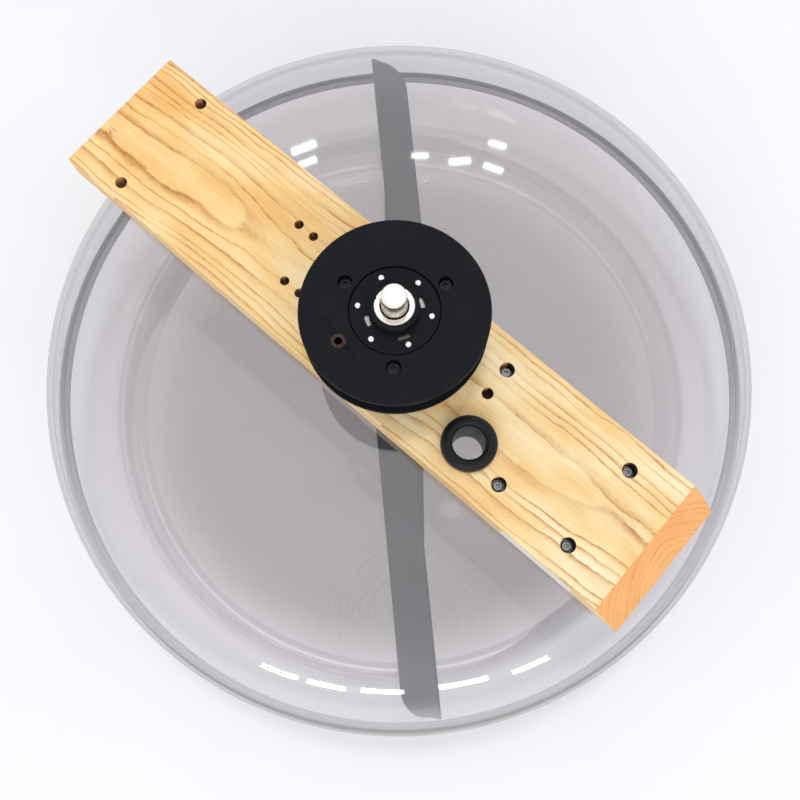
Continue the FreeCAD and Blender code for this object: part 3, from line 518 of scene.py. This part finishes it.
def turned_points(profile, steps, at):
    """Surface of revolution: P(s, t) = (x + r(s) cos t, y + r(s) sin t, z(s))."""
    t = np.linspace(0, 2 * math.pi, steps, endpoint=False)
    r, z = profile[:, :1], profile[:, 1:]
    return np.stack([at[0] + r * np.cos(t), at[1] + r * np.sin(t), z + 0 * t],
                    -1).reshape(-1, 3)


def turned(name, outline, finish, rides, stands_for=(), steps=128, places=((0.0, 0.0),),
           closed=False, arc=8):
    """One piece turned from a rounded outline at each of its places. It rides on a body,
    takes its finish's material and may stand for a CAD node."""
    material, slot = finish
    profile = rounded(outline, closed, arc)
    ring = grid_faces(len(profile), steps, closed, True)
    points = [turned_points(profile, steps, at) for at in places]
    faces = [ring + len(points[0]) * number for number in range(len(places))]
    mesh = clean_mesh(name, np.concatenate(points), np.concatenate(faces))
    smooth(mesh)
    mesh.materials.append(material)
    piece = bpy.data.objects.new(name, mesh)
    bpy.context.scene.collection.objects.link(piece)
    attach(piece, rides)
    if stands_for:
        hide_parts(*stands_for)
    return piece


def cut_through(piece, radius, low, high, at):
    """Round hole through a finished piece, by an exact boolean that is applied."""
    profile = np.array([[0, low], [radius, low], [radius, high], [0, high]], float)
    mesh = clean_mesh("cutter", turned_points(profile, 96, at), grid_faces(4, 96, False, True))
    cutter = bpy.data.objects.new("cutter", mesh)
    bpy.context.scene.collection.objects.link(cutter)
    change = piece.modifiers.new("hole", "BOOLEAN")
    change.operation, change.solver, change.object = "DIFFERENCE", "EXACT", cutter
    graph = bpy.context.evaluated_depsgraph_get()
    uncut, piece.data = piece.data, bpy.data.meshes.new_from_object(piece.evaluated_get(graph))
    piece.modifiers.clear()
    bpy.data.objects.remove(cutter)
    for mesh in (uncut, mesh):
        bpy.data.meshes.remove(mesh)
    smooth(piece.data)


# ---- the pieces ---------------------------------------------------------------------------


def tank_mouldings(plastic):
    """Two deep mouldings, each a flat disc, a quarter-elliptic shoulder and a short plain
    wall. The upper one has openings for the bearing housing and the filler, and bosses."""
    outer, inner, lip = TANK_RADIUS, TANK_RADIUS - SHELL_WALL, LIP_ROUND
    run, inner_run = SHOULDER_RUN, SHOULDER_RUN - SHELL_WALL
    rise = SEAM_LOW - STRAIGHT_WALL
    base = [(0.0, 0.0), (outer, 0.0, run, rise), (outer, SEAM_LOW, lip),
            (inner, SEAM_LOW, lip), (inner, SHELL_WALL, inner_run, rise - SHELL_WALL),
            (0.0, SHELL_WALL)]
    turned("tank_lower_moulding", base, plastic, "tank", ["tank_lower_shell"],
           steps=TANK_STEPS, arc=TANK_ARC)
    rise = TANK_TOP - SEAM_HIGH - STRAIGHT_WALL
    roof = [(HOUSING_OPENING, TANK_TOP), (outer, TANK_TOP, run, rise),
            (outer, SEAM_HIGH, lip), (inner, SEAM_HIGH, lip),
            (inner, TANK_UNDER, inner_run, rise - SHELL_WALL), (HOUSING_OPENING, TANK_UNDER)]
    upper = turned("tank_upper_moulding", roof, plastic, "tank", ["tank_upper_shell"],
                   steps=TANK_STEPS, closed=True, arc=TANK_ARC)
    cut_through(upper, FILLER_OPENING, TANK_UNDER - 5, TANK_TOP + 5, GROMMET_PLACE)
    boss = [(0.0, BOSS_FOOT), (BOSS_RADIUS, BOSS_FOOT, 1.2), (BOSS_RADIUS, TANK_UNDER),
            (0.0, TANK_UNDER)]
    turned("tank_screw_bosses", boss, plastic, "tank", steps=48, places=TANK_SCREW_PLACES)


def seam_ring(silicone):
    """Square cord ring between the mouldings, standing a lip's width inside the wall."""
    outer = TANK_RADIUS - 0.05
    inner = TANK_RADIUS - SHELL_WALL - SEAM_LIP
    section = [(inner, SEAM_LOW), (outer, SEAM_LOW), (outer, SEAM_HIGH), (inner, SEAM_HIGH)]
    turned("seam_ring", [(*corner, 0.7) for corner in section], silicone, "tank",
           ["tank_seam_seal"], steps=TANK_STEPS, closed=True, arc=5)


def filler_collar(rubber):
    """Grommet: a fat rolled collar on the plank, a sleeve through it and a snap bead."""
    low, high = GROMMET_LOW[2], GROMMET_HIGH[2]
    outer = (GROMMET_HIGH[0] - GROMMET_LOW[0]) / 2
    seat, bead = PLANK_TOP + 0.02, TANK_UNDER - 0.02
    outline = [(GROMMET_BORE, high, 3.2), (outer, high, 4.4), (outer, seat, 1.2),
               (GROMMET_SLEEVE, seat), (GROMMET_SLEEVE, bead), (GROMMET_BEAD, bead, 0.6),
               (GROMMET_BEAD, TANK_UNDER - 1.6, 0.8), (GROMMET_SLEEVE, low, 0.6),
               (GROMMET_BORE, low, 0.6)]
    turned("filler_collar", outline, rubber, "tank", ["filler_grommet"], steps=144,
           places=(GROMMET_PLACE,), closed=True)


def drive_shaft(steel):
    """Ground shaft with a chamfered foot, a shoulder above the collar and a free end."""
    low, high = SHAFT_LOW[2], SHAFT_HIGH[2]
    shoulder = COLLAR_HIGH[2] + STUB_LIFT
    outline = [(0.0, low), (SHAFT_RADIUS, low, 0.8), (SHAFT_RADIUS, shoulder, 0.15),
               (STUB_RADIUS, shoulder, 0.05), (STUB_RADIUS, high, 0.7), (0.0, high)]
    turned("drive_shaft", outline, steel, "rotor", ["shaft"])


def give(material, *names):
    """A CAD node keeps its mesh and takes a finish in its object's material slots."""
    for name in names:
        for place in NODES[name].material_slots:
            place.link = "OBJECT"
            place.material = material


# ---- stage ----------------------------------------------------------------------------------

CAMERA_PLACE = (128.8, -132.7, 797.2)
CAMERA_PITCH = 13.1                         # degrees from straight down
CAMERA_HEADING = 44.06                      # of the view's upper edge, turned from +Y
CAMERA_ROLL = -3.1
CAMERA_LENS = 42.5                          # on a 36 mm sensor
LAMP_HEADING = math.radians(41.06)
WINDOW_SHAPE = 0.62                         # depth of a window by its width
WINDOWS = ((-1650, -3330), (-1000, -3450), (-230, -3230), (650, -2650), (1720, -3200))
STRIP_SHAPE = 0.28
STRIP_GLOW = 8.0                            # watts a square metre, by pi
STRIPS = ((334, 1439, 63, -18), (48, 1392, 60, 0), (-379, 1432, 94, 23), (315, 1341, 71, -22),
          (-364, 1370, 72, 23), (194, 1369, 77, 5))     # right, away, length, tilt in degrees


def camera():
    """Camera above the tank, pitched, turned and rolled, with no shift or depth of field."""
    data = bpy.data.cameras.new("camera")
    data.lens = CAMERA_LENS
    data.sensor_width = 36.0
    data.clip_end = 20.0
    item = bpy.data.objects.new("camera", data)
    bpy.context.scene.collection.objects.link(item)
    turn = (Matrix.Rotation(math.radians(CAMERA_HEADING), 4, "Z")
            @ Matrix.Rotation(math.radians(CAMERA_PITCH), 4, "X")
            @ Matrix.Rotation(math.radians(CAMERA_ROLL), 4, "Z"))
    item.matrix_world = Matrix.Translation(Vector(CAMERA_PLACE) * MM) @ turn
    bpy.context.scene.camera = item


def lamp(name, right, away, height, width, shape, power, aim=(0, 0, 100)):
    """Soft rectangular lamp facing its aim, placed by how far right and away it stands for
    a person working at the tank. Lengths are in millimetres."""
    data = bpy.data.lights.new(name, "AREA")
    data.shape = "RECTANGLE"
    data.size, data.size_y = width * MM, width * shape * MM
    data.energy = power
    item = bpy.data.objects.new(name, data)
    bpy.context.scene.collection.objects.link(item)
    c, s = math.cos(LAMP_HEADING), math.sin(LAMP_HEADING)
    here = Vector((right * c - away * s, right * s + away * c, height)) * MM
    item.location = here
    item.rotation_euler = (Vector(aim) * MM - here).to_track_quat("-Z", "Y").to_euler()
    return item


def studio():
    """White floor, one soft key lamp, a ceiling panel, far windows for the sheen on the
    plank and thin ceiling strips that only show as glints in the tank."""
    reach = 6000.0
    corners = np.array([[-1, -1, 0], [1, -1, 0], [1, 1, 0], [-1, 1, 0]]) * reach
    mesh = bpy.data.meshes.new("floor")
    mesh.from_pydata((corners * MM).tolist(), [], [[0, 1, 2, 3]])
    mesh.materials.append(matt_white("studio_floor_matt", "F1F2F4", "F5F6F8", 400.0, 0.88, 0.2))
    floor = bpy.data.objects.new("floor", mesh)
    bpy.context.scene.collection.objects.link(floor)
    lamp("key", 20, 330, 2600, 260, 1.0, 11.0).visible_glossy = False
    lamp("ceiling_panel", 0, 830, 2600, 420, 1.0, 1.1)
    for number, (right, away) in enumerate(WINDOWS):
        lamp("window_%d" % number, right, away, 2460, 520, WINDOW_SHAPE, 8.0)
    for number, (right, away, length, tilt) in enumerate(STRIPS):
        power = STRIP_GLOW * math.pi * STRIP_SHAPE * (length * MM) ** 2
        strip = lamp("strip_%d" % number, right, away, 2400, length, STRIP_SHAPE, power)
        strip.rotation_euler = (0, 0, LAMP_HEADING + math.radians(tilt))
        strip.visible_diffuse = False
    world = bpy.data.worlds.new("room")
    world.use_nodes = True
    sky = world.node_tree.nodes["Background"]
    sky.inputs["Color"].default_value = linear("F8F8FA")
    sky.inputs["Strength"].default_value = 0.845
    bpy.context.scene.world = world
    bpy.context.scene.view_settings.view_transform = "Standard"
    bpy.context.scene.cycles.transparent_max_bounces = 48


# ---- build ----------------------------------------------------------------------------------


def build():
    """Make the new pieces, give the CAD nodes their finishes and set the stage."""
    plastic = (polycarbonate_smoked(), "smoked_polycarbonate")
    rubber = epdm_rubber()
    bright = steel_turned("steel_turned_bright", "FBF4EA", "E9E2D9", 0.20, 0.5)
    ground = steel_turned("steel_ground", "BDBCBA", "918F8C", 0.24, 0.25)
    tank_mouldings(plastic)
    seam_ring((silicone_smoke(), "black_rubber"))
    filler_collar((rubber, "black_rubber"))
    drive_shaft((bright, "polished_steel"))
    give(ash_oiled(), "top_plank")
    give(nylon_black(), "bearing_housing", "clutch_hub", "pulley_cover", "pulley_core",
         "pulley_bottom_flange", "recoil_drum")
    give(rubber, "housing_o_ring", "shaft_seal")
    give(ground, "upper_bearing_outer_ring", "upper_bearing_inner_ring", "upper_bearing_balls",
         "lower_bearing_outer_ring", "lower_bearing_inner_ring", "lower_bearing_balls",
         "shaft_circlips", "thrust_washer", "paddle_pin", "blade_rivets", "hub_snap_ring",
         "lower_one_way_clutch", "upper_one_way_clutch")
    give(bright, "clutch_collar")
    # plated screws are patchy and softly bright, blackened ones show worn bare steel painted
    # bright at the chamfers as a glint, drawn rivets stay bright and a sintered bush is dull and
    # porous
    give(skinned_metal("steel_zinc_plated", 1.4, [(0.3, "8C8E90"), (0.5, "A9AAAA"),
                                                 (0.7, "C2C1BC")], 0.28, 0.46),
         "tank_screws", "tank_screw_washers", "housing_screws")
    give(skinned_metal("steel_black_oxide", 0.9, [(0.3, "26272A"), (0.6, "3B3C40"),
                                                 (0.8, "5B5C60")], 0.32, 0.50, "D8D4CC"),
         "pulley_screws")
    give(skinned_metal("aluminium_drawn_bright", 0.7, [(0.3, "E9EAEC"), (0.7, "FBFBFB")],
                       0.30, 0.42), "hub_rivets")
    give(skinned_metal("bronze_sintered", 0.8, [(0.3, "382A27"), (0.55, "5B4640"),
                                               (0.75, "806A62")], 0.38, 0.60),
         "strap_anchor_bush")
    give(paddle_polymer(), "paddle_hub", "paddle_blade_a", "paddle_blade_b")
    give(matt_white("label_paper_coated", "E6E6E4", "F4F4F2", 0.9, 0.42, 0.5),
         "blank_side_label")
    studio()
    camera()


build()
